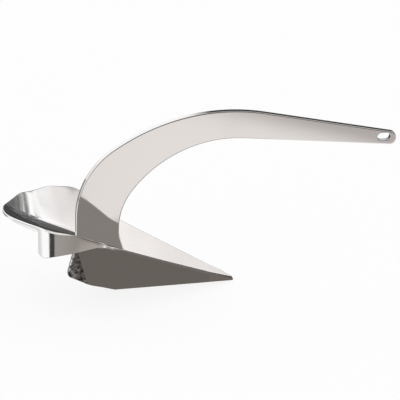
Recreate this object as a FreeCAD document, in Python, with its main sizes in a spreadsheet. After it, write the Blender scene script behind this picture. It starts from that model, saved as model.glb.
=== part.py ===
import FreeCAD, Part
import math
import os

import Sketcher
from FreeCAD import Placement, Rotation, Vector

# Scoop anchor: a dished fluke plate with turned-down wings, carried on a V keel and a one-piece
# bowed shank. Millimetres. +X points from the heel to the fluke's point, +Y to the left, +Z up.
# The sub-parts are drawn with the fluke's point at X = 0 and the flat of the keel at Z = 0, and
# each Placement then moves them so that the middle of that flat is the origin.

SIZES = {
    # Shank and web: one plate, from the shackle slot through the scoop to the keel's flat. A share
    # says how much of an outline's side a round takes up, and each pair of them stays under one.
    "shank_thickness": 12.0,
    "shank_edge_round": 2.0,
    "keel_flat_back": 216.0,
    "heel_low_back": 262.0,
    "heel_low_height": 12.0,
    "heel_low_round": 60.0,
    "heel_back": 302.5,
    "heel_height": 33.0,
    "heel_round": 8.0,
    "rear_edge_back": 285.8,
    "rear_knee_height": 94.0,
    "rear_knee_round": 60.0,
    "bow_rear_height": 226.2,
    "bow_rear_share": 0.35,
    "bow_top_back": 82.0,
    "bow_top_height": 348.5,
    "bow_top_share": 0.6045,
    "shank_end_reach": 297.0,
    "shank_end_height": 236.3,
    "shank_end_depth": 23.2,
    "shank_end_share": 0.4526,
    "arch_top_back": 100.9,
    "arch_top_height": 286.0,
    "arch_top_share": 0.7327,
    "arch_edge_back": 207.8,
    "arch_rear_height": 158.1,
    "arch_rear_share": 0.246,
    "foot_waist_height": 104.0,
    "foot_waist_round": 60.0,
    "foot_toe_back": 196.0,
    # Shackle slot, set back from the shank's end and a little above the middle of the arm
    "slot_setback": 22.0,
    "slot_lift": 1.1,
    "slot_length": 23.5,
    "slot_width": 14.0,
    "slot_edge_round": 1.0,
    # Scoop plate: a V that runs back in a straight line and then curls up to the rear lip. Its
    # valley is tight from the point to the shank's foot and opens out from there to the rear.
    "scoop_thickness": 5.5,
    "wing_half_width": 165.0,
    "wing_rise": 66.0,
    "valley_front_round": 12.0,
    "valley_foot_round": 16.0,
    "valley_rear_round": 100.0,
    "point_rise": 4.5,
    "scoop_run_length": 360.0,
    "scoop_run_rise": 124.2,
    "lip_round": 165.0,
    "lip_run": 72.0,
    # Plan outline of the scoop, half of it, from the rear lip to the point
    "lip_back": 418.0,
    "lip_corner_half": 25.0,
    "lip_corner_round": 70.0,
    "quarter_back": 362.0,
    "quarter_half": 93.5,
    "quarter_round": 140.0,
    "shoulder_back": 252.0,
    "shoulder_half": 143.5,
    "shoulder_round": 30.0,
    "neck_back": 198.0,
    "neck_half": 89.5,
    "neck_round": 70.0,
    "front_half": 31.5,
    # Wings: the skirts that turn down round the rear quarters
    "skirt_thickness": 5.0,
    "skirt_rear_back": 370.0,
    "skirt_rear_height": 104.0,
    "skirt_corner_round": 9.0,
    "skirt_mid_back": 274.0,
    "skirt_mid_height": 137.0,
    "skirt_fore_back": 258.0,
    "skirt_fore_height": 135.5,
    "skirt_front_back": 208.0,
    "skirt_front_height": 107.5,
    # V keel
    "keel_slope_run": 78.5,
    "keel_slope_rise": 99.0,
    "keel_thickness": 5.0,
    "keel_heel_back": 269.5,
    "keel_heel_height": 21.8,
    "keel_rear_lean": 0.262,
    "keel_bevel_back": 190.0,
    "keel_bevel_fade": 1.9,
    # Solid point
    "point_length": 45.0,
    "point_shoulder_back": 20.0,
    "point_shoulder_half": 18.5,
    "point_end_half": 4.5,
    "point_round": 6.0,
    # Ballast chamber in the front of the keel
    "ballast_back": 118.0,
    "cover_thickness": 4.0,
    "weld_gap": 1.5,
    # Reaches that only have to clear the plates they trim
    "trim_height": 240.0,
    "trim_depth": 130.0,
    "trim_length": 460.0,
}

doc = FreeCAD.newDocument("scoop_anchor")
sheet = doc.addObject("Spreadsheet::Sheet", "Sizes")
for row, (alias, value) in enumerate(SIZES.items(), start=1):
    sheet.set(f"A{row}", alias)
    sheet.set(f"B{row}", repr(value))
    sheet.setAlias(f"B{row}", alias)
doc.recompute()


class Length:
    """A size as a number, for placing geometry, and as the expression that binds it to the sheet."""

    def __init__(self, value, text):
        self.value = value
        self.text = text

    def __add__(self, other):
        return Length(self.value + other.value, f"({self.text} + {other.text})")

    def __sub__(self, other):
        return Length(self.value - other.value, f"({self.text} - {other.text})")

    def __mul__(self, other):
        return Length(self.value * other.value, f"({self.text} * {other.text})")

    def __truediv__(self, other):
        return Length(self.value / other.value, f"({self.text} / {other.text})")

    def __neg__(self):
        return Length(-self.value, f"(-{self.text})")

    def root(self):
        return Length(math.sqrt(self.value), f"sqrt({self.text})")


def size(alias):
    return Length(SIZES[alias], f"Sizes.{alias}")


def number(value):
    return Length(float(value), repr(float(value)))


ZERO, ONE, TWO = number(0), number(1), number(2)

# Slopes and places that several sub-parts share
half_thickness = size("shank_thickness") / TWO
cross_slope = size("wing_rise") / size("wing_half_width")
run_slope = size("scoop_run_rise") / size("scoop_run_length")
run_stretch = (ONE + run_slope * run_slope).root()
keel_slope = size("keel_slope_rise") / size("keel_slope_run")
cross_stretch = (ONE + cross_slope * cross_slope).root()
keel_stretch = (ONE + keel_slope * keel_slope).root()
keel_angle = math.degrees(math.atan(keel_slope.value))
origin_shift = size("keel_flat_back") / TWO


def underside(back, valley_round):
    """Height of the scoop's underside on the centreline, where the scoop runs straight."""
    return run_slope * back + valley_round * (cross_stretch - ONE) - size("scoop_thickness")


def bind(feature, path, length):
    feature.setExpression(path, length.text)


def new_body(name):
    body = doc.addObject("PartDesign::Body", name)
    body.Label = name
    return body


def new_sketch(body, name, role):
    sketch = body.newObject("Sketcher::SketchObject", name)
    plane = next(f for f in body.Origin.OriginFeatures if f.Role == role)
    sketch.AttachmentSupport = [(plane, "")]
    sketch.MapMode = "FlatFace"
    return sketch


def pin(sketch, geometry, point, x, y):
    """Hold a point of the sketch at a place given by two lengths."""
    for kind, length in (("DistanceX", x), ("DistanceY", y)):
        index = sketch.addConstraint(Sketcher.Constraint(kind, -1, 1, geometry, point, length.value))
        bind(sketch, f"Constraints[{index}]", length)


def polygon(sketch, corners):
    """Closed outline with a pinned corner at each pair of lengths."""
    points = [Vector(x.value, y.value, 0) for x, y in corners]
    following = points[1:] + points[:1]
    edges = [sketch.addGeometry(Part.LineSegment(a, b), False) for a, b in zip(points, following)]
    for edge, after in zip(edges, edges[1:] + edges[:1]):
        sketch.addConstraint(Sketcher.Constraint("Coincident", edge, 2, after, 1))
    for edge, (x, y) in zip(edges, corners):
        pin(sketch, edge, 1, x, y)


def pad(body, sketch, name, length, midplane=False, reverse=False):
    feature = body.newObject("PartDesign::Pad", name)
    feature.Profile = sketch
    feature.Length = length.value
    bind(feature, "Length", length)
    feature.Midplane = midplane
    feature.Reversed = reverse
    doc.recompute()
    return feature


def edges_through(shape, axes, corners):
    """Names of the straight edges whose middle lies on one of the corners, seen along the pad."""
    names = []
    for index, edge in enumerate(shape.Edges, start=1):
        centre = edge.CenterOfMass
        seen = [getattr(centre, axis) for axis in axes]
        ends = [getattr(edge.Vertexes[0].Point, axis) for axis in axes]
        square = math.dist(seen, ends) < 1e-4
        if square and any(math.dist(seen, corner) < 1e-3 for corner in corners):
            names.append(f"Edge{index}")
    return names


def round_corners(body, base, axes, corners, radius, name):
    """Round the edges of a pad that stand on the given outline corners."""
    places = [(x.value, y.value) for x, y in corners]
    feature = body.newObject("PartDesign::Fillet", name)
    feature.Base = (base, edges_through(base.Shape, axes, places))
    feature.Radius = radius.value
    bind(feature, "Radius", radius)
    doc.recompute()
    return feature


def place(feature):
    """Move a finished sub-part so that the middle of the keel's flat is the origin."""
    feature.Placement = Placement(Vector(origin_shift.value, 0, 0), Rotation())
    bind(feature, "Placement.Base.x", origin_shift)


def corner_radius(before, corner, after, run):
    """Radius of the round that starts a given run before the corner of an outline."""
    ways = []
    for end in (before, after):
        across, up = end[0] - corner[0], end[1] - corner[1]
        length = (across * across + up * up).root()
        ways.append((across / length, up / length))
    cosine = ways[0][0] * ways[1][0] + ways[0][1] * ways[1][1]
    return run * ((ONE - cosine) / (ONE + cosine)).root()


def distance(first, second):
    across, up = first[0] - second[0], first[1] - second[1]
    return (across * across + up * up).root()


def face_edges(shape, around_slot, slot_x, slot_z):
    """Edges of the shank's two faces above the keel: either round the slot or round the outline."""
    slack = 1e-3
    half_length = size("slot_length").value / 2 + slack
    half_width = size("slot_width").value / 2 + slack
    lowest = underside(size("foot_toe_back"), size("valley_foot_round")).value + slack
    names = []
    for index, edge in enumerate(shape.Edges, start=1):
        box = edge.BoundBox
        on_face = box.YLength < slack and abs(abs(box.YMin) - half_thickness.value) < slack
        reach = max(abs(x - slot_x.value) for x in (box.XMin, box.XMax))
        rise = max(abs(z - slot_z.value) for z in (box.ZMin, box.ZMax))
        slot_edge = reach < half_length and rise < half_width
        if on_face and box.ZMax > lowest and slot_edge == around_slot:
            names.append(f"Edge{index}")
    return names


# Shank and web
def make_shank():
    body = new_body("shank")
    web_front = size("point_length")
    heel_low = (-size("heel_low_back"), size("heel_low_height"))
    heel = (-size("heel_back"), size("heel_height"))
    rear_knee = (-size("rear_edge_back"), size("rear_knee_height"))
    bow_rear = (-size("rear_edge_back"), size("bow_rear_height"))
    bow_top = (-size("bow_top_back"), size("bow_top_height"))
    end_bottom = (size("shank_end_reach"), size("shank_end_height"))
    end_top = (end_bottom[0], end_bottom[1] + size("shank_end_depth"))
    arch_top = (-size("arch_top_back"), size("arch_top_height"))
    arch_rear = (-size("arch_edge_back"), size("arch_rear_height"))
    waist = (-size("arch_edge_back"), size("foot_waist_height"))
    toe = (-size("foot_toe_back"), underside(size("foot_toe_back"), size("valley_foot_round")))
    outline = [
        (-web_front, ZERO),
        (-size("keel_flat_back"), ZERO),
        heel_low,
        heel,
        rear_knee,
        bow_rear,
        bow_top,
        end_top,
        end_bottom,
        arch_top,
        arch_rear,
        waist,
        toe,
        (-web_front, underside(web_front, size("valley_front_round"))),
    ]
    sketch = new_sketch(body, "shank_outline", "XZ_Plane")
    polygon(sketch, outline)
    feature = pad(body, sketch, "shank_pad", size("shank_thickness"), midplane=True)
    bow = distance(bow_rear, bow_top)
    arch = distance(arch_rear, arch_top)
    bow_rear_radius = corner_radius(rear_knee, bow_rear, bow_top, bow * size("bow_rear_share"))
    bow_top_radius = corner_radius(bow_rear, bow_top, end_top, bow * size("bow_top_share"))
    arch_top_radius = corner_radius(arch_rear, arch_top, end_bottom, arch * size("arch_top_share"))
    arch_rear_radius = corner_radius(waist, arch_rear, arch_top, arch * size("arch_rear_share"))
    end_radius = size("shank_end_depth") * size("shank_end_share")
    rounds = [
        ("heel_low_round", [heel_low], size("heel_low_round")),
        ("heel_round", [heel], size("heel_round")),
        ("rear_knee_round", [rear_knee], size("rear_knee_round")),
        ("bow_rear_round", [bow_rear], bow_rear_radius),
        ("bow_top_round", [bow_top], bow_top_radius),
        ("shank_end_round", [end_top, end_bottom], end_radius),
        ("arch_top_round", [arch_top], arch_top_radius),
        ("arch_rear_round", [arch_rear], arch_rear_radius),
        ("foot_waist_round", [waist], size("foot_waist_round")),
    ]
    for name, corners, radius in rounds:
        feature = round_corners(body, feature, "xz", corners, radius, name)
    # The slot keeps its place between the arm's upper and lower edge
    setback = size("slot_setback")
    slot_x = size("shank_end_reach") - setback
    over_slot = end_top[1] + (bow_top[1] - end_top[1]) * setback / (end_top[0] - bow_top[0])
    under_slot = end_bottom[1] + (arch_top[1] - end_bottom[1]) * setback / (end_bottom[0] - arch_top[0])
    slot_z = (over_slot + under_slot) / TWO + size("slot_lift")
    slot = new_sketch(body, "slot_outline", "XZ_Plane")
    half_straight = (size("slot_length") - size("slot_width")) / TWO
    radius = size("slot_width") / TWO
    left = Vector(slot_x.value - half_straight.value, slot_z.value, 0)
    right = Vector(slot_x.value + half_straight.value, slot_z.value, 0)
    up = Vector(0, radius.value, 0)
    out = Vector(radius.value, 0, 0)
    top = slot.addGeometry(Part.LineSegment(left + up, right + up), False)
    nose = slot.addGeometry(Part.Arc(right + up, right + out, right - up), False)
    bottom = slot.addGeometry(Part.LineSegment(right - up, left - up), False)
    tail = slot.addGeometry(Part.Arc(left - up, left - out, left + up), False)
    slot.addConstraint(Sketcher.Constraint("Tangent", top, 2, nose, 2))
    slot.addConstraint(Sketcher.Constraint("Tangent", nose, 1, bottom, 1))
    slot.addConstraint(Sketcher.Constraint("Tangent", bottom, 2, tail, 2))
    slot.addConstraint(Sketcher.Constraint("Tangent", tail, 1, top, 1))
    pin(slot, nose, 3, slot_x + half_straight, slot_z)
    pin(slot, tail, 3, slot_x - half_straight, slot_z)
    index = slot.addConstraint(Sketcher.Constraint("Radius", nose, radius.value))
    bind(slot, f"Constraints[{index}]", radius)
    pocket = body.newObject("PartDesign::Pocket", "shackle_slot")
    pocket.Profile = slot
    pocket.Type = "ThroughAll"
    pocket.Midplane = True
    doc.recompute()
    # The long edges of both faces are eased, from the heel round to the foot, and so is the slot
    feature = pocket
    for name, around_slot in (("shank_edge_round", False), ("slot_edge_round", True)):
        easing = body.newObject("PartDesign::Fillet", name)
        easing.Base = (feature, face_edges(feature.Shape, around_slot, slot_x, slot_z))
        easing.Radius = size(name).value
        bind(easing, "Radius", size(name))
        doc.recompute()
        feature = easing
    body.Tip = easing
    return body


# Scoop: V sections with a straight run between them, and the last one turned up round the lip
def add_lip_line(body, name):
    """Arc on the mirror plane that the last section follows."""
    sketch = new_sketch(body, name, "XZ_Plane")
    turn = Vector(-size("scoop_run_length").value, size("scoop_run_rise").value, 0)
    climb = math.atan(run_slope.value)
    radius = size("lip_round").value
    centre = turn + Vector(math.sin(climb), math.cos(climb), 0) * radius

    def on_lip(angle):
        return centre - Vector(math.sin(angle), math.cos(angle), 0) * radius

    lip_end = size("scoop_run_length") + size("lip_run")
    last = math.asin((centre.x + lip_end.value) / radius)
    lip = sketch.addGeometry(Part.Arc(turn, on_lip((climb + last) / 2), on_lip(last)), False)
    pin(sketch, lip, 2, -size("scoop_run_length"), size("scoop_run_rise"))
    pin(sketch, lip, 3, -size("scoop_run_length") + size("lip_round") * run_slope / run_stretch,
        size("scoop_run_rise") + size("lip_round") / run_stretch)
    index = sketch.addConstraint(Sketcher.Constraint("DistanceX", lip, 1, -1, 1, lip_end.value))
    bind(sketch, f"Constraints[{index}]", lip_end)
    return sketch


def add_section(body, name, back, upper, lower, valley_round, rise=ZERO):
    """V section between two depths below the scoop's upper surface, a given way behind the point."""
    sketch = new_sketch(body, name, "YZ_Plane")
    sketch.AttachmentOffset = Placement(Vector(0, 0, -back.value), Rotation())
    bind(sketch, "AttachmentOffset.Base.z", -back)
    half = size("wing_half_width")
    spread = valley_round * cross_slope / cross_stretch
    base = run_slope * back + rise
    rows = []
    for depth in (upper, lower):
        wing_end = base + size("wing_rise") - depth
        tangent = base + spread * cross_slope - depth
        bottom = base + valley_round * (cross_stretch - ONE) - depth
        left, right = Vector(-half.value, wing_end.value, 0), Vector(half.value, wing_end.value, 0)
        left_end = Vector(-spread.value, tangent.value, 0)
        right_end = Vector(spread.value, tangent.value, 0)
        middle = Vector(0, bottom.value, 0)
        wing_left = sketch.addGeometry(Part.LineSegment(left, left_end), False)
        valley = sketch.addGeometry(Part.Arc(left_end, middle, right_end), False)
        wing_right = sketch.addGeometry(Part.LineSegment(right_end, right), False)
        pin(sketch, wing_left, 1, -half, wing_end)
        pin(sketch, wing_right, 2, half, wing_end)
        pin(sketch, valley, 1, -spread, tangent)
        sketch.addConstraint(Sketcher.Constraint("Tangent", wing_left, 2, valley, 1))
        sketch.addConstraint(Sketcher.Constraint("Tangent", valley, 2, wing_right, 1))
        rows.append((wing_left, wing_right))
    for end, point in ((0, 1), (1, 2)):
        above, below = rows[0][end], rows[1][end]
        side = sketch.addGeometry(
            Part.LineSegment(sketch.getPoint(above, point), sketch.getPoint(below, point)), False
        )
        sketch.addConstraint(Sketcher.Constraint("Coincident", side, 1, above, point))
        sketch.addConstraint(Sketcher.Constraint("Coincident", side, 2, below, point))
    return sketch


def scoop_shell(name, upper, lower):
    """The scoop's form between two depths below its upper surface, before it is cut to outline."""
    body = new_body(name)
    stations = [
        ("point", ZERO, size("valley_front_round"), size("point_rise")),
        ("front", size("point_length"), size("valley_front_round"), ZERO),
        ("foot", size("foot_toe_back"), size("valley_foot_round"), ZERO),
        ("rear", size("scoop_run_length"), size("valley_rear_round"), ZERO),
    ]
    sections = [
        add_section(body, f"{name}_at_{place}", back, upper, lower, valley_round, rise)
        for place, back, valley_round, rise in stations
    ]
    lip_line = add_lip_line(body, name + "_lip_line")
    doc.recompute()
    run = body.newObject("PartDesign::AdditiveLoft", name + "_run")
    run.Profile = sections[0]
    run.Sections = sections[1:]
    run.Ruled = True
    doc.recompute()
    lip = body.newObject("PartDesign::AdditivePipe", name + "_lip")
    lip.Profile = sections[-1]
    lip.Spine = (lip_line, ["Edge1"])
    doc.recompute()
    return body


def plan_prism(name):
    """Upright prism on the scoop's plan outline, ahead of the lip and behind the point."""
    body = new_body(name)
    front = (-size("point_length"), size("front_half"))
    neck = (-size("neck_back"), size("neck_half"))
    shoulder = (-size("shoulder_back"), size("shoulder_half"))
    quarter = (-size("quarter_back"), size("quarter_half"))
    lip = (-size("lip_back"), size("lip_corner_half"))
    left = [front, neck, shoulder, quarter, lip]
    right = [(x, -y) for x, y in reversed(left)]
    sketch = new_sketch(body, name + "_outline", "XY_Plane")
    polygon(sketch, left + right)
    feature = pad(body, sketch, name + "_pad", size("trim_height"))
    rounds = {
        "neck_round": neck,
        "shoulder_round": shoulder,
        "quarter_round": quarter,
        "lip_corner_round": lip,
    }
    for alias, (x, y) in rounds.items():
        pair = [(x, y), (x, -y)]
        feature = round_corners(body, feature, "xy", pair, size(alias), f"{name}_{alias}")
    return body, feature


def add_box(name, low, high):
    """Upright box between two corners given as lengths."""
    box = doc.addObject("Part::Box", name)
    for path, first, last in zip(("Length", "Width", "Height"), low, high):
        setattr(box, path, (last - first).value)
        bind(box, path, last - first)
    box.Placement = Placement(Vector(*(length.value for length in low)), Rotation())
    for axis, length in zip("xyz", low):
        bind(box, f"Placement.Base.{axis}", length)
    return box


def combine(kind, name, **inputs):
    feature = doc.addObject(kind, name)
    for key, value in inputs.items():
        setattr(feature, key, value)
    doc.recompute()
    return feature


def mirrored(name, source):
    feature = doc.addObject("Part::Mirroring", name)
    feature.Source = source
    feature.Normal = (0, 1, 0)
    feature.Base = (0, 0, 0)
    doc.recompute()
    return feature


def keel_bevel(name):
    """Block outside the keel's left face, which cuts the scoop's front edge flush with it."""
    depth = size("trim_depth")
    back = -size("keel_bevel_back")
    body = new_body(name)
    sketch = new_sketch(body, name + "_outline", "XZ_Plane")
    corners = [(ZERO, ZERO), (back, ZERO), (back - depth * size("keel_bevel_fade"), -depth), (ZERO, -depth)]
    polygon(sketch, corners)
    pad(body, sketch, name + "_pad", size("trim_height"), reverse=True)
    body.Placement = Placement(Vector(0, half_thickness.value, 0), Rotation(Vector(1, 0, 0), keel_angle))
    bind(body, "Placement.Base.y", half_thickness)
    doc.recompute()
    return body


def make_skirts(fill):
    """Both turned-down wings: a band inside the plan outline, cut to its side profile."""
    band, prism = plan_prism("skirt_band")
    ends = []
    for index, face in enumerate(prism.Shape.Faces, start=1):
        if abs(face.normalAt(0, 0).z) > 0.999:
            ends.append(f"Face{index}")
    wall = band.newObject("PartDesign::Thickness", "skirt_wall")
    wall.Base = (prism, ends)
    wall.Value = size("skirt_thickness").value
    bind(wall, "Value", size("skirt_thickness"))
    wall.Reversed = True
    doc.recompute()
    profile = new_body("skirt_profile")
    sketch = new_sketch(profile, "skirt_side", "XZ_Plane")
    rear = (-size("skirt_rear_back"), size("skirt_rear_height"))
    middle = (-size("skirt_mid_back"), size("skirt_mid_height"))
    fore = (-size("skirt_fore_back"), size("skirt_fore_height"))
    front = (-size("skirt_front_back"), size("skirt_front_height"))
    top = size("trim_height")
    polygon(sketch, [rear, middle, fore, front, (front[0], top), (rear[0], top)])
    feature = pad(profile, sketch, "skirt_side_pad", size("trim_length"), midplane=True)
    round_corners(profile, feature, "xz", [rear], size("skirt_corner_round"), "skirt_corner")
    return combine("Part::MultiCommon", "skirts", Shapes=[band, profile, fill])


def make_scoop(fill):
    sheet_body = scoop_shell("scoop_sheet", ZERO, size("scoop_thickness"))
    plan, _ = plan_prism("scoop_plan")
    blank = combine("Part::MultiCommon", "scoop_blank", Shapes=[sheet_body, plan])
    dressed = combine("Part::MultiFuse", "scoop_with_skirts", Shapes=[blank, make_skirts(fill)])
    bevel_left = keel_bevel("bevel_left")
    bevel_right = mirrored("bevel_right", bevel_left)
    slot = add_box(
        "foot_slot",
        (-size("rear_edge_back") - size("weld_gap"), -half_thickness, ZERO),
        (-size("foot_toe_back"), half_thickness, size("trim_height")),
    )
    cutters = combine("Part::MultiFuse", "scoop_cutters", Shapes=[bevel_left, bevel_right, slot])
    return combine("Part::Cut", "scoop_plate", Base=dressed, Tool=cutters)


def make_keel_plate(core):
    """Left keel plate: a flat plate in the sloping side of the keel, up to the scoop's underside."""
    body = new_body("keel_blank")
    sketch = new_sketch(body, "keel_outline", "XY_Plane")
    low = size("keel_heel_height") * keel_stretch / keel_slope
    lean = size("keel_rear_lean")
    # The rear edge leans back to where it meets the inner face of the skirt, which it then follows
    fall = (size("shoulder_half") - size("quarter_half")) / (size("quarter_back") - size("shoulder_back"))
    inset = size("skirt_thickness") * (ONE + fall * fall).root() + size("weld_gap")
    inside = (size("shoulder_half") - inset - half_thickness) * keel_stretch
    fall_along = fall * keel_stretch
    ahead = size("keel_heel_back") - lean * low - size("shoulder_back")
    corner = (inside - fall_along * ahead) / (ONE + fall_along * lean)
    corners = [
        (-size("point_length"), ZERO),
        (-size("point_length"), inside),
        (-size("shoulder_back"), inside),
        (-size("keel_heel_back") - lean * (corner - low), corner),
        (-size("keel_heel_back"), low),
        (-size("keel_flat_back"), ZERO),
    ]
    polygon(sketch, corners)
    pad(body, sketch, "keel_pad", size("keel_thickness"))
    body.Placement = Placement(Vector(0, half_thickness.value, 0), Rotation(Vector(1, 0, 0), keel_angle))
    bind(body, "Placement.Base.y", half_thickness)
    doc.recompute()
    side = add_box(
        "left_of_web",
        (-size("trim_length"), half_thickness, ZERO),
        (ZERO, size("trim_height"), size("trim_height")),
    )
    return combine("Part::MultiCommon", "keel_plate_left", Shapes=[body, core, side])


def chamber_piece(name, core, start, length):
    """Piece that fills the left half of the ballast chamber's section over a length."""
    body = new_body(name + "_blank")
    sketch = new_sketch(body, name + "_section", "YZ_Plane")
    sketch.AttachmentOffset = Placement(Vector(0, 0, -start.value), Rotation())
    bind(sketch, "AttachmentOffset.Base.z", -start)
    floor = size("keel_thickness") * keel_stretch
    top = size("trim_height")
    wide = half_thickness + (top - floor) / keel_slope
    polygon(sketch, [(half_thickness, floor), (wide, top), (half_thickness, top)])
    pad(body, sketch, name + "_pad", length, reverse=True)
    return combine("Part::MultiCommon", name, Shapes=[body, core])


def make_point(fill):
    """Solid point: the keel's outer faces and the scoop's upper surface brought together."""
    hull = new_body("point_hull")
    sketch = new_sketch(hull, "point_section", "YZ_Plane")
    top = size("trim_height")
    wide = half_thickness + top / keel_slope
    polygon(sketch, [(-half_thickness, ZERO), (half_thickness, ZERO), (wide, top), (-wide, top)])
    pad(hull, sketch, "point_pad", size("point_length"), reverse=True)
    nose = new_body("point_plan")
    outline = new_sketch(nose, "point_outline", "XY_Plane")
    back = (-size("point_length"), size("point_length"))
    shoulder = (-size("point_shoulder_back"), size("point_shoulder_half"))
    end = (ZERO, size("point_end_half"))
    left = [end, shoulder, back]
    right = [(x, -y) for x, y in reversed(left)]
    polygon(outline, left + right)
    feature = pad(nose, outline, "point_plan_pad", size("trim_height"))
    corners = [shoulder, end, (shoulder[0], -shoulder[1]), (end[0], -end[1])]
    round_corners(nose, feature, "xy", corners, size("point_round"), "point_corners")
    return combine("Part::MultiCommon", "nose_point", Shapes=[hull, nose, fill])


shank = make_shank()
fill = scoop_shell("scoop_fill", ZERO, size("trim_depth"))
core = scoop_shell("keel_core", size("scoop_thickness"), size("trim_depth"))
parts = {"shank": shank, "scoop_plate": make_scoop(fill), "keel_plate_left": make_keel_plate(core)}
parts["nose_point"] = make_point(fill)
parts["ballast_left"] = chamber_piece(
    "ballast_left", core, size("point_length"), size("ballast_back") - size("point_length")
)
parts["ballast_cover_left"] = chamber_piece(
    "ballast_cover_left", core, size("ballast_back"), size("cover_thickness")
)
for name, feature in list(parts.items()):
    feature.Label = name
    place(feature)
doc.recompute()
for name in ("keel_plate", "ballast", "ballast_cover"):
    parts[name + "_right"] = mirrored(name + "_right", parts[name + "_left"])
doc.recompute()

for item in doc.Objects:
    if "Invalid" in item.State or "Error" in item.State:
        raise RuntimeError(f"{item.Label} failed: {item.State}")
for name, feature in parts.items():
    shape = feature.Shape
    if shape.isNull() or not shape.isValid() or not shape.Solids:
        raise RuntimeError(f"{name} has no valid solid")
os.makedirs("parts", exist_ok=True)
for name, feature in parts.items():
    feature.Shape.exportStep(f"parts/{name}.step")
    print(name, len(feature.Shape.Solids), "solids", round(feature.Shape.Volume / 1000, 1), "cm3")
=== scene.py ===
import math

import bmesh
import bpy
from mathutils import Matrix, Vector


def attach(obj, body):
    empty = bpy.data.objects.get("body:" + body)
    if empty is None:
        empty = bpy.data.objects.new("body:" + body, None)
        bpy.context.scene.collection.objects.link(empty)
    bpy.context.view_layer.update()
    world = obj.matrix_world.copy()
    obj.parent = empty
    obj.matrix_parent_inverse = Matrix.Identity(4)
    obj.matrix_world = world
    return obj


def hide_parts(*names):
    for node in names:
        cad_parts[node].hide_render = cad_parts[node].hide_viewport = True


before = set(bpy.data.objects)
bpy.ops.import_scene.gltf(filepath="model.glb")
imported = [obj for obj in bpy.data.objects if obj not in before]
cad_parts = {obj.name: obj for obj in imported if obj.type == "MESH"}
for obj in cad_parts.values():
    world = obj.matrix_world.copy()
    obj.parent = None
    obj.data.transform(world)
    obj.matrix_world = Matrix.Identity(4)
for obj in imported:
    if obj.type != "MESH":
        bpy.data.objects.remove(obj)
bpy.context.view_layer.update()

# Places and sizes that the pieces below share, in metres. The fluke's point lies at X = TIP,
# "back" is a distance behind it, and "half" is one from the middle plane.
TIP = 0.108
WEB_HALF = 0.006
FOOT_FRONT = 0.196
KEEL_SLOPE = 99.0 / 78.5

# The scoop's middle line climbs straight for RUN_LENGTH and then curls up with radius LIP_ROUND
RUN_SLOPE = 0.345
RUN_LENGTH = 0.340
LIP_ROUND = 0.270
# Its section is a V with a rounded valley, tight at the nose and the foot, open at the rear
WING_SLOPE = 0.4
WING_STRETCH = math.hypot(1, WING_SLOPE)
NOSE_VALLEY = 0.012
FOOT_VALLEY = 0.016
REAR_VALLEY = 0.100
SHEET = 0.0055
# Rise of the wings' rims beside their turned-down part, where they are RIM_HALF from the middle
WING_LIFT = 0.0035
RIM_HALF = 0.125

# Plan outline of the scoop, half of it, from the nose round to the middle of the lip: back, half
# and the round of each corner. It starts at the first, and ends at the middle plane on its way to
# the last.
RIM_CORNERS = [
    (0.045, 0.0315, 0.0),
    (0.203, 0.0905, 0.060),
    (0.256, 0.1430, 0.034),
    (0.312, 0.1215, 0.160),
    (0.365, 0.0925, 0.122),
    (0.4165, 0.0205, 0.058),
    (0.4165, -0.0205, 0.0),
]
RIB_SPACING = 0.0035
CLOSEST_RIBS = 0.00015
# More ribs round the turned-down wing's rear edge, in millimetres behind it
EDGE_RIBS = (-9, -7.5, -6, -4.5, -3, -1.8, -0.8, -0.2, 0, 0.02, 0.3, 0.8, 1.6, 2.6, 4, 5.5)

# Plan outline of the solid nose, half of it, from the middle of its end towards the scoop, and the
# places back of its last ribs. Behind NOSE_FLUSH its side is flush with the keel's.
NOSE_CORNERS = [(0.0, 0.0, 0.0), (0.0, 0.0055, 0.005), (0.021, 0.0182, 0.030), (0.045, 0.0272, 0.0)]
NOSE_REAR_RIBS = (0.036, 0.038, 0.040, 0.0425, 0.045)
NOSE_SPACING = 0.0012
NOSE_FLUSH = 0.035
NOSE_LENGTH = 0.045
NOSE_RISE = 0.002

# Lower edge of the turned-down wings, back and height, with the round of its rear corner and the
# small fillet behind it
SKIRT_END = 0.370
SKIRT_LINE = [(0.208, 0.1075), (0.258, 0.1355), (0.274, 0.137), (SKIRT_END, 0.104)]
SKIRT_SHEET = 0.005
SKIRT_ROUND = 0.009
SKIRT_ROUND_HEIGHT = 0.1166
SKIRT_ROUND_START = math.radians(19)
SKIRT_FILLET = 0.005

# Rounds of the plain edges, of the keel's flat underside and of the nose's end, and how much wider
# the rim's is along the turned-down wing
EDGE_ROUND = 0.0012
UNDERSIDE_ROUND = 0.001
NOSE_ROUND = 0.0020
NOSE_ROUND_END = (0.0, 0.03)
WING_EDGE_WIDER = 0.0013
REAR_EDGE_WIDER = 0.0023
# A rim's upper face is followed up to this many of its rounds inside the outline
RIM_INSET = 1.6
# Small weld between the turned-down wing's inside and the scoop's underside
WELD_START = 0.0008
WELD_REACH = 0.010
WELD_ROUND = 0.004

# Seam below the wing's rim: how far down, and the share of its depth there
SEAM_DEPTH = 0.0009
SEAM_PROFILE = [(0.0050, 0), (0.0055, 1), (0.0063, 1), (0.0068, 0)]

# How far back these begin or end, each over a smooth step
KEEL_CUT_END = (0.178, 0.230)
WINGS_LIFTED = ((0.245, 0.320), (0.290, 0.405))
EDGE_WIDENED = ((0.190, 0.240), (0.290, 0.316))
REAR_EDGE_WIDENED = ((0.308, 0.350), (0.350, 0.3715))
SEAM_END = (0.315, 0.334)
# The seam fades in where the wing's wall grows from the first height to the second
SEAM_WALL = (0.0092, 0.0170)

# Behind the first of these the scoop's ribs fan out, and ahead of the second the nose's do: their
# roots on the middle line are closer together than their ends, by this share
SCOOP_FAN, SCOOP_FAN_SHARE = 0.30, 0.45
NOSE_FAN, NOSE_FAN_SHARE = 0.030, 0.6

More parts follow.
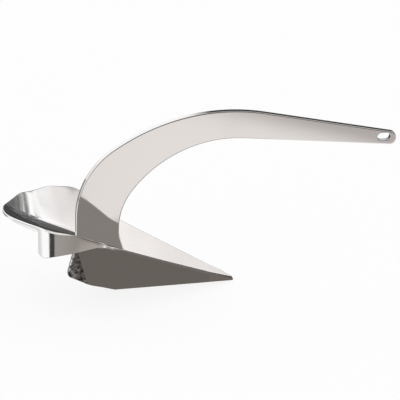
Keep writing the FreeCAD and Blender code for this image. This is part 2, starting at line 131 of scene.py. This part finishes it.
# Middle of the shackle slot, X and height, and how much flatter than round it is. Its wall lies
# within these distances of that middle and of the middle plane.
SLOT_MIDDLE = (0.383, 0.253)
SLOT_FLATNESS = 1.4
SLOT_REACH = 0.0124
SLOT_WALL_HALF = 0.0052
# How much the shank's faces lean below this height, and how softly that begins
SWELL = math.tan(math.radians(1.75))
SWELL_TOP = 0.215
SWELL_BLEND = 0.04

# Faces whose edge turns by less than these shine as one, on the shank and keel and on the scoop
CURVED = math.radians(28)
ROUNDED = math.radians(40)
# and below this they are one flat face
FLAT = math.radians(0.05)


# Pieces

def dress(bm, name, node, material, sharp_angle):
    """Finishes a bmesh as the piece that stands for a CAD node, shiny and with its edges kept."""
    for edge in bm.edges:
        edge.smooth = len(edge.link_faces) == 2 and edge.calc_face_angle(math.pi) < sharp_angle
    for polygon in bm.faces:
        polygon.smooth = True
    mesh = bpy.data.meshes.new(name)
    bm.to_mesh(mesh)
    bm.free()
    mesh.materials.append(material)
    piece = bpy.data.objects.new(name, mesh)
    bpy.context.scene.collection.objects.link(piece)
    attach(piece, "root")
    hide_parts(node)
    weighted = piece.modifiers.new("flat_faces_stay_flat", "WEIGHTED_NORMAL")
    weighted.keep_sharp = True


def polished_copy(node, name, material):
    """A copy of a CAD node with its triangles merged, so that its curved faces shine smoothly."""
    bm = bmesh.new()
    bm.from_mesh(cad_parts[node].data)
    bmesh.ops.remove_doubles(bm, verts=bm.verts, dist=1e-6)
    bmesh.ops.dissolve_limit(
        bm, angle_limit=FLAT, verts=bm.verts, edges=bm.edges, delimit={"NORMAL"}
    )
    dress(bm, name, node, material, CURVED)


# The scoop: its upper face is known at every place, and a grid of ribs follows it

def blend(low, high, value):
    """Smooth step from 0 to 1 between two values."""
    share = min(max((value - low) / (high - low), 0.0), 1.0)
    return share * share * (3 - 2 * share)


def within(start, end, value):
    """1 between two smooth steps, and 0 before the first and after the second."""
    return blend(*start, value) * (1 - blend(*end, value))


def valley_round(back):
    """Radius of the scoop's valley."""
    if back < FOOT_FRONT:
        share = max(back - NOSE_LENGTH, 0) / (FOOT_FRONT - NOSE_LENGTH)
        return NOSE_VALLEY + (FOOT_VALLEY - NOSE_VALLEY) * share
    share = min((back - FOOT_FRONT) / (RUN_LENGTH - FOOT_FRONT), 1)
    return FOOT_VALLEY + (REAR_VALLEY - FOOT_VALLEY) * share


def scoop_height(back, half, depth=0.0):
    """Height of the scoop's upper face, or of the face a depth below it."""
    radius = valley_round(back)
    if half < radius * WING_SLOPE / WING_STRETCH:
        rise = radius * WING_STRETCH - math.sqrt(radius * radius - half * half) - depth
    else:
        rise = WING_SLOPE * half - depth
    rise += NOSE_RISE * max(1 - back / NOSE_LENGTH, 0)
    rise += within(*WINGS_LIFTED, back) * WING_LIFT * (half / RIM_HALF) ** 2
    if back <= RUN_LENGTH:
        return RUN_SLOPE * back + rise
    climb = math.atan(RUN_SLOPE)
    centre_back = RUN_LENGTH - LIP_ROUND * math.sin(climb)
    centre_height = RUN_SLOPE * RUN_LENGTH + LIP_ROUND * math.cos(climb)
    arm = math.hypot(RUN_LENGTH - centre_back, LIP_ROUND * math.cos(climb) - rise)
    return centre_height - math.sqrt(arm * arm - (back - centre_back) ** 2)


def on_face(place, depth=0.0):
    """The point of the scoop's upper face, or of one below it, at a place in plan."""
    return Vector((place.x, place.y, scoop_height(place.x, place.y, depth)))


def along_face(root, end, depth=0.0):
    """Points on a face of the scoop from the middle line towards the rim, closer in the valley."""
    spread = valley_round(root.x) * WING_SLOPE / WING_STRETCH
    valley = min(spread / max(end.y, 1e-6), 0.4)
    shares = [valley * step / 6 for step in range(6)]
    shares += [valley + (1 - valley) * step / 12 for step in range(12)]
    return [on_face(root.lerp(end, share), depth) for share in shares]


def flush_half(back):
    """Where the scoop's upper face meets the plane of the keel's side."""
    half = 0.0
    for _ in range(20):
        half = WEB_HALF + scoop_height(back, half) / KEEL_SLOPE
    return half


def skirt_low(back):
    """Height of the turned-down wing's lower edge, with its rounded rear corner."""
    centre = Vector((SKIRT_END - SKIRT_ROUND, SKIRT_ROUND_HEIGHT))
    if back > centre.x - SKIRT_ROUND * math.sin(SKIRT_ROUND_START):
        return centre.y - math.sqrt(max(SKIRT_ROUND**2 - (back - centre.x) ** 2, 0))
    for (ahead, high), (behind, low) in zip(SKIRT_LINE, SKIRT_LINE[1:]):
        if back <= behind:
            return high + (low - high) * (back - ahead) / (behind - ahead)
    return SKIRT_LINE[-1][1]


def rounded_line(corners, spacing):
    """Places along an outline with rounded corners, up to the end of its last round, each with
    the direction that faces outwards there."""
    line = []
    last = Vector(corners[0][:2])
    for before, corner, after in zip(corners, corners[1:], corners[2:]):
        place, radius = Vector(corner[:2]), corner[2]
        inward = (place - Vector(before[:2])).normalized()
        onward = (Vector(after[:2]) - place).normalized()
        turn = inward.angle_signed(onward)
        run = radius * math.tan(abs(turn) / 2)
        start = place - inward * run
        side = Vector((-inward.y, inward.x))
        steps = max(round((start - last).length / spacing), 1)
        for step in range(steps):
            line.append((last.lerp(start, step / steps), side))
        centre = start + side * math.copysign(radius, -turn)
        steps = max(round(radius * abs(turn) / spacing), 6)
        for step in range(steps):
            angle = turn * step / steps
            turned = Matrix.Rotation(-angle, 2)
            line.append((centre + turned @ (start - centre), turned @ side))
        last = place + onward * run
    line.append((last, Vector((-onward.y, onward.x))))
    return line


def rim_places():
    """Ribs' ends on the rim, closer together round the rear edge of the turned-down wing. Each
    says whether the wing hangs from it."""
    line = rounded_line(RIM_CORNERS, RIB_SPACING)
    # The mirror image joins on at the middle of the lip
    line.append((Vector((RIM_CORNERS[-1][0], 0.0)), line[-1][1]))
    places = [(place, outward, place.x < SKIRT_END) for place, outward in line]
    for back in (SKIRT_END + step / 1000 for step in EDGE_RIBS):
        for (first, out_first), (second, out_second) in zip(line, line[1:]):
            if first.x <= back < second.x:
                share = (back - first.x) / (second.x - first.x)
                outward = out_first.lerp(out_second, share).normalized()
                places.append((first.lerp(second, share), outward, back <= SKIRT_END))
    places.sort(key=lambda entry: entry[0].x)
    kept = places[:1]
    for entry in places[1:]:
        if (entry[0] - kept[-1][0]).length > CLOSEST_RIBS or entry[2] != kept[-1][2]:
            kept.append(entry)
    return kept


def turn_corner(before, corner, after, radius, steps):
    """Points on the round of a corner, whose radius shrinks where its sides are short."""
    first, second = before - corner, after - corner
    half_angle = first.angle(second) / 2
    room = 0.48 * min(first.length, second.length)
    first.normalize()
    second.normalize()
    shares = [step / steps for step in range(steps + 1)]
    # A corner that hardly turns becomes a short straight
    if half_angle > math.radians(82):
        run = min(room, 0.0004)
        return [(corner + first * run).lerp(corner + second * run, share) for share in shares]
    run = min(radius / math.tan(half_angle), room)
    radius = run * math.tan(half_angle)
    centre = corner + (first + second).normalized() * (radius / math.sin(half_angle))
    start = (corner + first * run - centre).normalized()
    end = (corner + second * run - centre).normalized()
    return [centre + start.slerp(end, share) * radius for share in shares]


def rim_corner(place, outward, fold):
    """Where the upper face would end at a place of the outline without its round, and a point
    farther in from which it comes straight."""
    inside = place - outward * fold * RIM_INSET
    slope = (scoop_height(*inside) - scoop_height(*(inside - outward * 0.001))) * 1000
    along = Vector((outward.x, outward.y, slope))
    rim = on_face(inside) + along * fold * RIM_INSET
    return rim, rim - along * 0.03


def rim_drop(back, half, lean, skirt):
    """How far the rim's side reaches down: over the sheet's edge, or over the wing's wall."""
    height = scoop_height(back, half)
    drop = SHEET
    for _ in range(6):
        drop = height - scoop_height(back, half - lean * drop, SHEET)
    if skirt and back > SKIRT_LINE[0][0]:
        drop = max(drop, height - skirt_low(back))
    elif SKIRT_END < back < SKIRT_END + SKIRT_FILLET:
        ahead = SKIRT_END + SKIRT_FILLET - back
        drop += SKIRT_FILLET - math.sqrt(SKIRT_FILLET**2 - ahead**2)
    return drop


def rim_fold(back, drop):
    """Radius of the rim's round: crisp at plain edges, wider along the turned-down wing, and
    widest towards its rear end."""
    wing = WING_EDGE_WIDER * within(*EDGE_WIDENED, back)
    rear = min(REAR_EDGE_WIDER, 0.4 * drop) * within(*REAR_EDGE_WIDENED, back)
    return EDGE_ROUND + wing + rear


def seam(rim, low, outward, start, end, depth):
    """Points down the outside of the wing, with a shallow seam below the scoop's own edge."""
    down = (low - rim).normalized()
    inward = Vector((-outward.x, -outward.y, 0)) * depth
    first, room = (start - rim).length, (end - start).length
    points = []
    for step, (along, share) in enumerate(SEAM_PROFILE, 1):
        along = min(along, first + room * step / (len(SEAM_PROFILE) + 1))
        points.append(rim + down * along + inward * share)
    return points


def scoop_rib(place, outward, skirt):
    """One rib of the scoop: its upper face, the rim, down the turned-down wing and back below."""
    back, half = place
    # Ahead of the wing the rim is cut in the plane of the keel's side
    cut = 1 - blend(*KEEL_CUT_END, back)
    if cut > 0:
        half = flush_half(back) * cut + half * (1 - cut)
    lean = cut / KEEL_SLOPE
    drop = rim_drop(back, half, lean, skirt)
    fold = rim_fold(back, drop)
    rim, before = rim_corner(Vector((back, half)), outward, fold)
    low = rim + Vector((0, -lean, -1)) * (drop + rim.z - scoop_height(back, half))
    # The wall's lower edge, and the small weld where it meets the scoop's underside
    bottom = Vector((low.x, low.y)) - outward * SKIRT_SHEET
    inner = on_face(bottom, SHEET)
    inner.z = min(inner.z, low.z)
    corner = on_face(bottom - outward * WELD_START, SHEET)
    landing = on_face(bottom - outward * WELD_REACH, SHEET)
    over = turn_corner(before, rim, low, fold, 8)
    below = turn_corner(rim, low, inner, EDGE_ROUND, 4)
    below += turn_corner(low, inner, corner, EDGE_ROUND, 4)
    below += turn_corner(inner, corner, landing, WELD_ROUND, 5)
    root = Vector((back, 0))
    if back >= SCOOP_FAN:
        root.x = SCOOP_FAN + (back - SCOOP_FAN) * SCOOP_FAN_SHARE
    upper = along_face(root, Vector(over[0][:2]))
    under = along_face(root, Vector(below[-1][:2]), SHEET)
    joint = blend(*SEAM_WALL, drop) * (1 - blend(*SEAM_END, back)) * SEAM_DEPTH
    wall = seam(rim, low, outward, over[-1], below[0], joint)
    return upper + over + wall + below + under[::-1]


def nose_rib(place, outward):
    """One rib of the solid nose: its upper face, the rim, down the side and along the bottom."""
    back, half = place
    if back > NOSE_FLUSH:
        half = flush_half(back)
    fold = NOSE_ROUND + (EDGE_ROUND - NOSE_ROUND) * blend(*NOSE_ROUND_END, back)
    rim, before = rim_corner(Vector((back, half)), outward, fold)
    low = Vector((back, min(WEB_HALF, half), 0))
    root = Vector((back, 0))
    if back < NOSE_FAN:
        root.x = NOSE_FAN + (back - NOSE_FAN) * NOSE_FAN_SHARE
    middle = Vector((root.x, 0, 0))
    over = turn_corner(before, rim, low, fold, 8)
    below = turn_corner(rim, low, middle, UNDERSIDE_ROUND, 4)
    return along_face(root, Vector(over[0][:2])) + over + below + [middle]


def ribbed_form(ribs):
    """A skin over the ribs of the left half and its mirror image, closed at its open end."""
    bm = bmesh.new()
    along, across = len(ribs) - 1, len(ribs[0]) - 1
    bmesh.ops.create_grid(bm, x_segments=along, y_segments=across, size=1)
    for vert in bm.verts:
        rib = ribs[round((vert.co.x + 1) / 2 * along)]
        back, half, height = rib[round((vert.co.y + 1) / 2 * across)]
        vert.co = (TIP - back, half, height)
    bmesh.ops.mirror(bm, geom=bm.verts[:] + bm.edges[:] + bm.faces[:], axis="Y", merge_dist=1e-5)
    bmesh.ops.remove_doubles(bm, verts=bm.verts, dist=1e-6)
    bmesh.ops.holes_fill(bm, edges=[edge for edge in bm.edges if edge.is_boundary], sides=0)
    bmesh.ops.recalc_face_normals(bm, faces=bm.faces)
    return bm


# Nodes of the materials

def grey(level, warmth=0.0):
    """A grey, which a warmth turns a little towards red."""
    return (level * (1 + warmth), level, level * (1 - warmth))


def feed(tree, socket, value):
    """Links an input to another node's output, or sets it to a value."""
    if isinstance(value, bpy.types.NodeSocket):
        tree.links.new(value, socket)
    elif socket.type == "RGBA":
        socket.default_value = (*value, 1)
    else:
        socket.default_value = value


def add(tree, kind, inputs=None, **settings):
    """Adds a node with its own settings, and feeds its inputs."""
    node = tree.nodes.new(kind)
    for name, value in settings.items():
        setattr(node, name, value)
    for name, value in (inputs or {}).items():
        feed(tree, node.inputs[name], value)
    return node


def object_place(tree):
    """Where a point lies on the object, as Object coordinates."""
    return add(tree, "ShaderNodeTexCoord").outputs["Object"]


def axes(tree, place):
    """The X, Y and Z of a place, as three outputs."""
    return add(tree, "ShaderNodeSeparateXYZ", {"Vector": place}).outputs


def maths(tree, operation, *values, clamp=False):
    """The result of a sum, product or comparison."""
    node = add(tree, "ShaderNodeMath", operation=operation, use_clamp=clamp)
    for socket, value in zip(node.inputs, values):
        feed(tree, socket, value)
    return node.outputs["Value"]


def vector_maths(tree, operation, first, second):
    """The result of a sum on two places or directions, which is a number or a vector."""
    node = add(tree, "ShaderNodeVectorMath", {0: first, 1: second}, operation=operation)
    return node.outputs["Value" if operation in ("DISTANCE", "DOT_PRODUCT") else "Vector"]


def noise(tree, place, scale, detail=2.0):
    inputs = {"Vector": place, "Scale": scale, "Detail": detail}
    return add(tree, "ShaderNodeTexNoise", inputs).outputs["Fac"]


def ramp(tree, value, stops, mode="EASE"):
    """Ramp of colours from (place, colour) stops."""
    node = add(tree, "ShaderNodeValToRGB", {"Fac": value})
    node.color_ramp.interpolation = mode
    elements = node.color_ramp.elements
    while len(elements) < len(stops):
        elements.new(0.5)
    for element, (place, colour) in zip(elements, stops):
        element.position = place
        element.color = (*colour, 1)
    return node.outputs["Color"]


def grey_ramp(tree, value, *stops, mode="EASE"):
    """Ramp of greys from (place, level) or (place, level, warmth) stops."""
    return ramp(tree, value, [(place, grey(*level)) for place, *level in stops], mode)


def mixed(tree, factor, first, second, data_type="RGBA", **settings):
    """Mixes two colours, or two numbers where the data type is FLOAT."""
    inputs = {"Factor": factor, "A": first, "B": second}
    return add(tree, "ShaderNodeMix", inputs, data_type=data_type, **settings).outputs["Result"]


def times(tree, first, second):
    return mixed(tree, 1.0, first, second, blend_type="MULTIPLY")


def bump(tree, height, distance, strength=1.0, normal=None):
    inputs = {"Height": height, "Distance": distance, "Strength": strength}
    if normal is not None:
        inputs["Normal"] = normal
    return add(tree, "ShaderNodeBump", inputs).outputs["Normal"]


def mixed_shaders(tree, share, first, second):
    return add(tree, "ShaderNodeMixShader", {0: share, 1: first, 2: second}).outputs["Shader"]


def other_for(tree, ray, usual, other):
    """Shows one kind of ray another shader than the usual one."""
    path = add(tree, "ShaderNodeLightPath")
    return mixed_shaders(tree, path.outputs[ray], usual, other)


def new_material(name):
    material = bpy.data.materials.new(name)
    material.use_nodes = True
    return material, material.node_tree, material.node_tree.nodes["Principled BSDF"]


# The anchor's finishes

def hand_polish_group():
    """Hand polish: broad cloudiness, and fine buffing lines along the sloping scoop."""
    group = bpy.data.node_groups.new("hand_polish", "ShaderNodeTree")
    for name in ("Cloud Scale", "Smoothest", "Roughest"):
        group.interface.new_socket(name, in_out="INPUT", socket_type="NodeSocketFloat")
    for name in ("Roughness", "Height", "Cloud"):
        group.interface.new_socket(name, in_out="OUTPUT", socket_type="NodeSocketFloat")
    given = add(group, "NodeGroupInput").outputs
    place = object_place(group)
    cloud = noise(group, place, given["Cloud Scale"], 4.0)
    stretch = {"Vector": place, "Rotation": (0, math.radians(19), 0), "Scale": (0.06, 1, 1)}
    stretched = add(group, "ShaderNodeMapping", stretch)
    buff = noise(group, stretched.outputs["Vector"], 160.0, 3.0)
    both = maths(group, "MULTIPLY_ADD", buff, 0.35, maths(group, "MULTIPLY", cloud, 0.65))
    span = {
        "Value": both,
        "From Min": 0.35,
        "From Max": 0.68,
        "To Min": given["Smoothest"],
        "To Max": given["Roughest"],
    }
    roughness = add(group, "ShaderNodeMapRange", span).outputs["Result"]
    add(group, "NodeGroupOutput", {"Roughness": roughness, "Height": buff, "Cloud": cloud})
    return group


HAND_POLISH = hand_polish_group()


def shank_satin_and_painted_shade(tree, place, colour, roughness):
    """The shank's painted shade and satin: a dark, mottled painted shade on the web low in the
    keel's hollow under the scoop, and filed satin in the slot, with a painted shade at its far end."""
    x, y, z = axes(tree, place)
    grain = noise(tree, place, 140.0, 3.0)
    # Painted shade: the web low in the keel's hollow, under the scoop, is dark and mottled
    mottled_shade = grey_ramp(tree, grain, (0.36, 0.10), (0.48, 0.45), (0.62, 0.95))
    keel_hollow_shade = grey_ramp(tree, z, (0.066, 1.0), (0.070, 0.0), mode="LINEAR")
    # Painted shade: the slot's wall is dark at its far end, where that end lies in shadow
    slot_end_shade = grey_ramp(tree, x, (0.3895, 0.9), (0.3915, 0.05), mode="LINEAR")
    # Distances are taken with heights stretched, so that the slot is nearly round
    stretched = vector_maths(tree, "MULTIPLY", place, (1, 0, SLOT_FLATNESS))
    middle = (SLOT_MIDDLE[0], 0, SLOT_MIDDLE[1] * SLOT_FLATNESS)
    from_slot = vector_maths(tree, "DISTANCE", stretched, middle)
    inside = maths(
        tree,
        "MULTIPLY",
        maths(tree, "LESS_THAN", maths(tree, "ABSOLUTE", y), SLOT_WALL_HALF),
        maths(tree, "LESS_THAN", from_slot, SLOT_REACH),
    )
    for factor, shade_and_satin, rough in ((keel_hollow_shade, mottled_shade, 0.45), (inside, slot_end_shade, 0.6)):
        colour = mixed(tree, factor, colour, shade_and_satin)
        roughness = mixed(tree, factor, roughness, rough, data_type="FLOAT")
    return colour, roughness


def polished_steel(name, tint, shade, cloud_scale, least, most, ripple, swell=0.0, painted_bowl_light=None):
    """Mirror-polished stainless, least to most rough. The tint drifts a little towards a shade
    with the polish, and ripples bend what it mirrors. A painted bowl light is a brighter tint
    behind the shank's foot, a painted reflection that brightens the bowl. A swell is how much the
    shank's faces lean, and brings the shank's painted shade and its satin slot."""
    material, tree, shader = new_material(name)
    place = object_place(tree)
    given = {"Cloud Scale": cloud_scale, "Smoothest": least, "Roughest": most}
    polish = add(tree, "ShaderNodeGroup", given, node_tree=HAND_POLISH).outputs
    colour = mixed(tree, polish["Cloud"], tint, shade)
    roughness = polish["Roughness"]
    normal = None
    if painted_bowl_light:
        # Painted light: behind the shank's foot the tint brightens towards the bowl colour
        rearward = maths(tree, "MULTIPLY", axes(tree, place)["X"], -1.0)
        colour = mixed(tree, grey_ramp(tree, rearward, (0.185, 0.0), (0.235, 1.0)), colour, painted_bowl_light)
    if swell > 0:
        colour, roughness = shank_satin_and_painted_shade(tree, place, colour, roughness)
        below = maths(tree, "SUBTRACT", SWELL_TOP, axes(tree, place)["Z"])
        normal = bump(tree, maths(tree, "SMOOTH_MAX", below, 0.0, SWELL_BLEND), swell)
    normal = bump(tree, noise(tree, place, 7.0, 1.0), ripple, normal=normal)
    normal = bump(tree, polish["Height"], 0.00002, 0.25, normal)
    feed(tree, shader.inputs["Metallic"], 1.0)
    feed(tree, shader.inputs["Base Color"], colour)
    feed(tree, shader.inputs["Roughness"], roughness)
    feed(tree, shader.inputs["Normal"], normal)
    return material


def cast_lead():
    """Dull lead with a coarse grain."""
    material, tree, shader = new_material("cast_lead")
    grain = noise(tree, object_place(tree), 90.0)
    colour = mixed(tree, grain, (0.20, 0.21, 0.23), (0.32, 0.33, 0.35))
    feed(tree, shader.inputs["Metallic"], 1.0)
    feed(tree, shader.inputs["Base Color"], colour)
    feed(tree, shader.inputs["Roughness"], 0.6)
    return material


shank_steel = polished_steel(
    "shank_polished_steel",
    tint=(0.80, 0.785, 0.77),
    shade=(0.74, 0.725, 0.71),
    cloud_scale=6.0,
    least=0.03,
    most=0.09,
    ripple=0.0002,
    swell=SWELL,
)
scoop_steel = polished_steel(
    "scoop_polished_steel",
    tint=(0.82, 0.785, 0.77),
    shade=(0.74, 0.705, 0.695),
    cloud_scale=8.0,
    least=0.04,
    most=0.12,
    ripple=0.0006,
    painted_bowl_light=(0.95, 0.945, 0.94),
)
keel_steel = polished_steel(
    "keel_polished_steel",
    tint=(0.74, 0.72, 0.70),
    shade=(0.66, 0.64, 0.62),
    cloud_scale=9.0,
    least=0.06,
    most=0.16,
    ripple=0.0004,
)
lead = cast_lead()


# The anchor's pieces

polished_copy("shank", "bowed_shank", shank_steel)

scoop_ribs = [scoop_rib(*entry) for entry in rim_places()]
dress(ribbed_form(scoop_ribs), "dished_scoop", "scoop_plate", scoop_steel, ROUNDED)

nose_line = rounded_line(NOSE_CORNERS, NOSE_SPACING)
nose_side = nose_line[-1][1]
nose_line += [(Vector((back, 0.0)), nose_side) for back in NOSE_REAR_RIBS]
nose_ribs = [nose_rib(*entry) for entry in nose_line]
dress(ribbed_form(nose_ribs), "solid_point", "nose_point", scoop_steel, ROUNDED)

for side in ("left", "right"):
    polished_copy(f"keel_plate_{side}", f"keel_side_{side}", keel_steel)
    # The hidden ballast and the plate that closes it stay as their solids
    for node, material in ((f"ballast_{side}", lead), (f"ballast_cover_{side}", keel_steel)):
        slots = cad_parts[node].material_slots
        for slot in slots:
            slot.material = material
        if not slots:
            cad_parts[node].data.materials.append(material)


# Stage: the polished faces mirror a studio that is dark around the horizon and behind the camera,
# bright overhead, and has a pale floor with a light patch in front of the anchor. The floor's part
# of it is painted light and shade, an emission that only reflections see.

def mirrored_floor(tree):
    """Painted light and shade of the floor, which it gives off only to the anchor's reflections.
    X runs along the anchor, and the camera stands where Y is negative."""
    x, y, _ = axes(tree, object_place(tree))
    # A painted shadow of the anchor: dark close to its middle line, in a strip that widens towards
    # its point and ends ahead of it
    wider = maths(tree, "MULTIPLY", maths(tree, "ADD", x, 0.04), 8.0, clamp=True)
    ahead = maths(tree, "MULTIPLY", maths(tree, "SUBTRACT", x, 0.13), 10.0, clamp=True)
    apart = maths(tree, "ABSOLUTE", y)
    apart = maths(tree, "SUBTRACT", apart, maths(tree, "MULTIPLY", wider, 0.10))
    apart = maths(tree, "ADD", apart, maths(tree, "MULTIPLY", ahead, 0.45))
    anchor_shadow = grey_ramp(tree, apart, (0.10, 0.17, 0.07), (0.32, 0.42, 0.05), (0.42, 0.95, 0.01))
    # The painted light falls off, and turns warmer, towards the right and the camera
    aside = maths(tree, "SUBTRACT", maths(tree, "SUBTRACT", x, y), 0.5)
    fall = [(0.44, 1.0), (0.52, 0.95), (0.57, 0.83), (0.60, 0.71), (0.64, 0.57), (0.70, 0.52)]
    warm_fall = [
        (place, (level * (1.08 - 0.06 * level), level * 0.99, level * 0.985))
        for place, level in fall
    ]
    lit = times(tree, anchor_shadow, ramp(tree, aside, warm_fall, "LINEAR"))
    # Beside the anchor's rear half a painted shade keeps it grey at most
    to_left = maths(tree, "SUBTRACT", -0.24, x)
    shade = grey_ramp(tree, maths(tree, "ADD", to_left, 0.5), (0.312, 1.0), (0.342, 0.46, 0.05))
    lit = mixed(tree, 1.0, lit, shade, blend_type="DARKEN")
    # Beyond the lip a painted dark strip runs beside a painted light band
    forward = maths(tree, "SUBTRACT", -0.10, y)
    painted_light_band = grey_ramp(
        tree,
        maths(tree, "DIVIDE", forward, to_left),
        (0.16, 0.72),
        (0.28, 1.02),
        (0.53, 1.02),
        (0.59, 0.05),
        (0.82, 0.05),
        (0.88, 0.32, 0.07),
    )
    ground = mixed(tree, grey_ramp(tree, to_left, (0.10, 0.0), (0.16, 1.0)), lit, painted_light_band)
    # Behind the anchor the floor is light at first and grey farther off
    far_floor = grey_ramp(tree, y, (0.18, 0.9), (0.30, 0.33, -0.02))
    return mixed(tree, grey_ramp(tree, y, (0.02, 0.0), (0.05, 1.0)), ground, far_floor)


def lay_floor():
    """The floor. The camera sees it nearly white, with the anchor's shadow left faint."""
    material, tree, paint = new_material("pale_floor")
    feed(tree, paint.inputs["Base Color"], (0.96, 0.96, 0.96))
    feed(tree, paint.inputs["Roughness"], 0.9)
    mirrored = add(tree, "ShaderNodeEmission", {"Color": mirrored_floor(tree)}).outputs["Emission"]
    white = add(tree, "ShaderNodeEmission").outputs["Emission"]
    seen = mixed_shaders(tree, 0.86, paint.outputs["BSDF"], white)
    # Reflections see the floor glow with its painted light and shade
    surface = other_for(tree, "Is Glossy Ray", paint.outputs["BSDF"], mirrored)
    surface = other_for(tree, "Is Camera Ray", surface, seen)
    feed(tree, tree.nodes["Material Output"].inputs["Surface"], surface)
    bm = bmesh.new()
    just_below = Matrix.Translation((0, 0, -0.0005))
    bmesh.ops.create_grid(bm, x_segments=1, y_segments=1, size=6.0, matrix=just_below)
    mesh = bpy.data.meshes.new("floor")
    bm.to_mesh(mesh)
    bm.free()
    mesh.materials.append(material)
    floor = bpy.data.objects.new("floor", mesh)
    bpy.context.scene.collection.objects.link(floor)


def towards(tree, way, *direction):
    """How nearly a direction points along another, from -1 to 1."""
    return vector_maths(tree, "DOT_PRODUCT", way, Vector(direction).normalized())


def mirrored_sky(tree):
    """Colour of the room as the anchor mirrors it."""
    way = add(tree, "ShaderNodeTexCoord").outputs["Generated"]
    height = axes(tree, way)["Z"]
    # To the far right the room is dark, up to a streaky edge
    uneven = maths(tree, "MULTIPLY_ADD", noise(tree, way, 17.0), 0.56, -0.27)
    low_sky = grey_ramp(
        tree,
        maths(tree, "ADD", uneven, height),
        (0.30, 0.06),
        (0.38, 0.07),
        (0.45, 0.22),
        (0.52, 0.10),
        (0.595, 0.24),
        (0.635, 0.95),
        (0.68, 1.0),
        (0.80, 1.2),
    )
    open_sky = grey_ramp(tree, height, (0.0, 0.9), (0.30, 1.2), (0.75, 1.15))
    far_side = grey_ramp(tree, towards(tree, way, 0.90, 0.43, 0.0), (0.44, 0.0), (0.54, 1.0))
    sky = mixed(tree, far_side, open_sky, low_sky)
    # Three dark places: behind the camera, high and low, and overhead
    high_behind = towards(tree, way, 0.15, -0.80, 0.58)
    low_behind = towards(tree, way, -0.10, -0.95, 0.30)
    overhead = towards(tree, way, 0.20, 0.25, 0.93)
    dim = times(
        tree,
        grey_ramp(tree, high_behind, (0.55, 1.0), (0.78, 0.30, 0.04)),
        grey_ramp(tree, low_behind, (0.70, 1.0), (0.85, 0.20, 0.04)),
    )
    dim = times(tree, dim, grey_ramp(tree, overhead, (0.90, 1.0), (0.96, 0.30, 0.04)))
    return times(tree, sky, dim)


def light_studio():
    """The world: plain white light on the object, white to the camera, and a room to mirror."""
    world = bpy.data.worlds.new("studio")
    world.use_nodes = True
    bpy.context.scene.world = world
    tree = world.node_tree
    light = tree.nodes["Background"]
    feed(tree, light.inputs["Strength"], 0.96)
    feed(tree, light.inputs["Color"], (1, 1, 1))
    mirrored = add(tree, "ShaderNodeBackground", {"Color": mirrored_sky(tree)})
    white = add(tree, "ShaderNodeBackground").outputs["Background"]
    surface = other_for(
        tree, "Is Glossy Ray", light.outputs["Background"], mirrored.outputs["Background"]
    )
    surface = other_for(tree, "Is Camera Ray", surface, white)
    feed(tree, tree.nodes["World Output"].inputs["Surface"], surface)


lay_floor()
light_studio()

# Camera, at the photograph's angle and so far off that it sees almost in parallel. The fluke's
# point is at TIP_PIXEL in the frame.
AZIMUTH, ELEVATION = math.radians(12), math.radians(22)
METRES_PER_PIXEL = 0.00179
FRAME_PIXELS = 400
FOCAL_PIXELS = 9000
TIP_PIXEL = (232.6, 278.8)

camera_data = bpy.data.cameras.new("photo_camera")
camera = bpy.data.objects.new("photo_camera", camera_data)
bpy.context.scene.collection.objects.link(camera)
bpy.context.scene.camera = camera
camera_data.sensor_width = 36
camera_data.lens = camera_data.sensor_width * FOCAL_PIXELS / FRAME_PIXELS
camera_data.clip_end = 100
level = math.cos(ELEVATION)
ahead = Vector((math.sin(AZIMUTH) * level, math.cos(AZIMUTH) * level, -math.sin(ELEVATION)))
right = Vector((math.cos(AZIMUTH), -math.sin(AZIMUTH), 0))
up = right.cross(ahead)
across, down = (pixel - FRAME_PIXELS / 2 for pixel in TIP_PIXEL)
aim = Vector((TIP, 0, 0)) - right * across * METRES_PER_PIXEL + up * down * METRES_PER_PIXEL
place = aim - ahead * FOCAL_PIXELS * METRES_PER_PIXEL
turned = Matrix((right, up, -ahead)).transposed()
camera.matrix_world = Matrix.Translation(place) @ turned.to_4x4()

bpy.context.scene.view_settings.view_transform = "Standard"
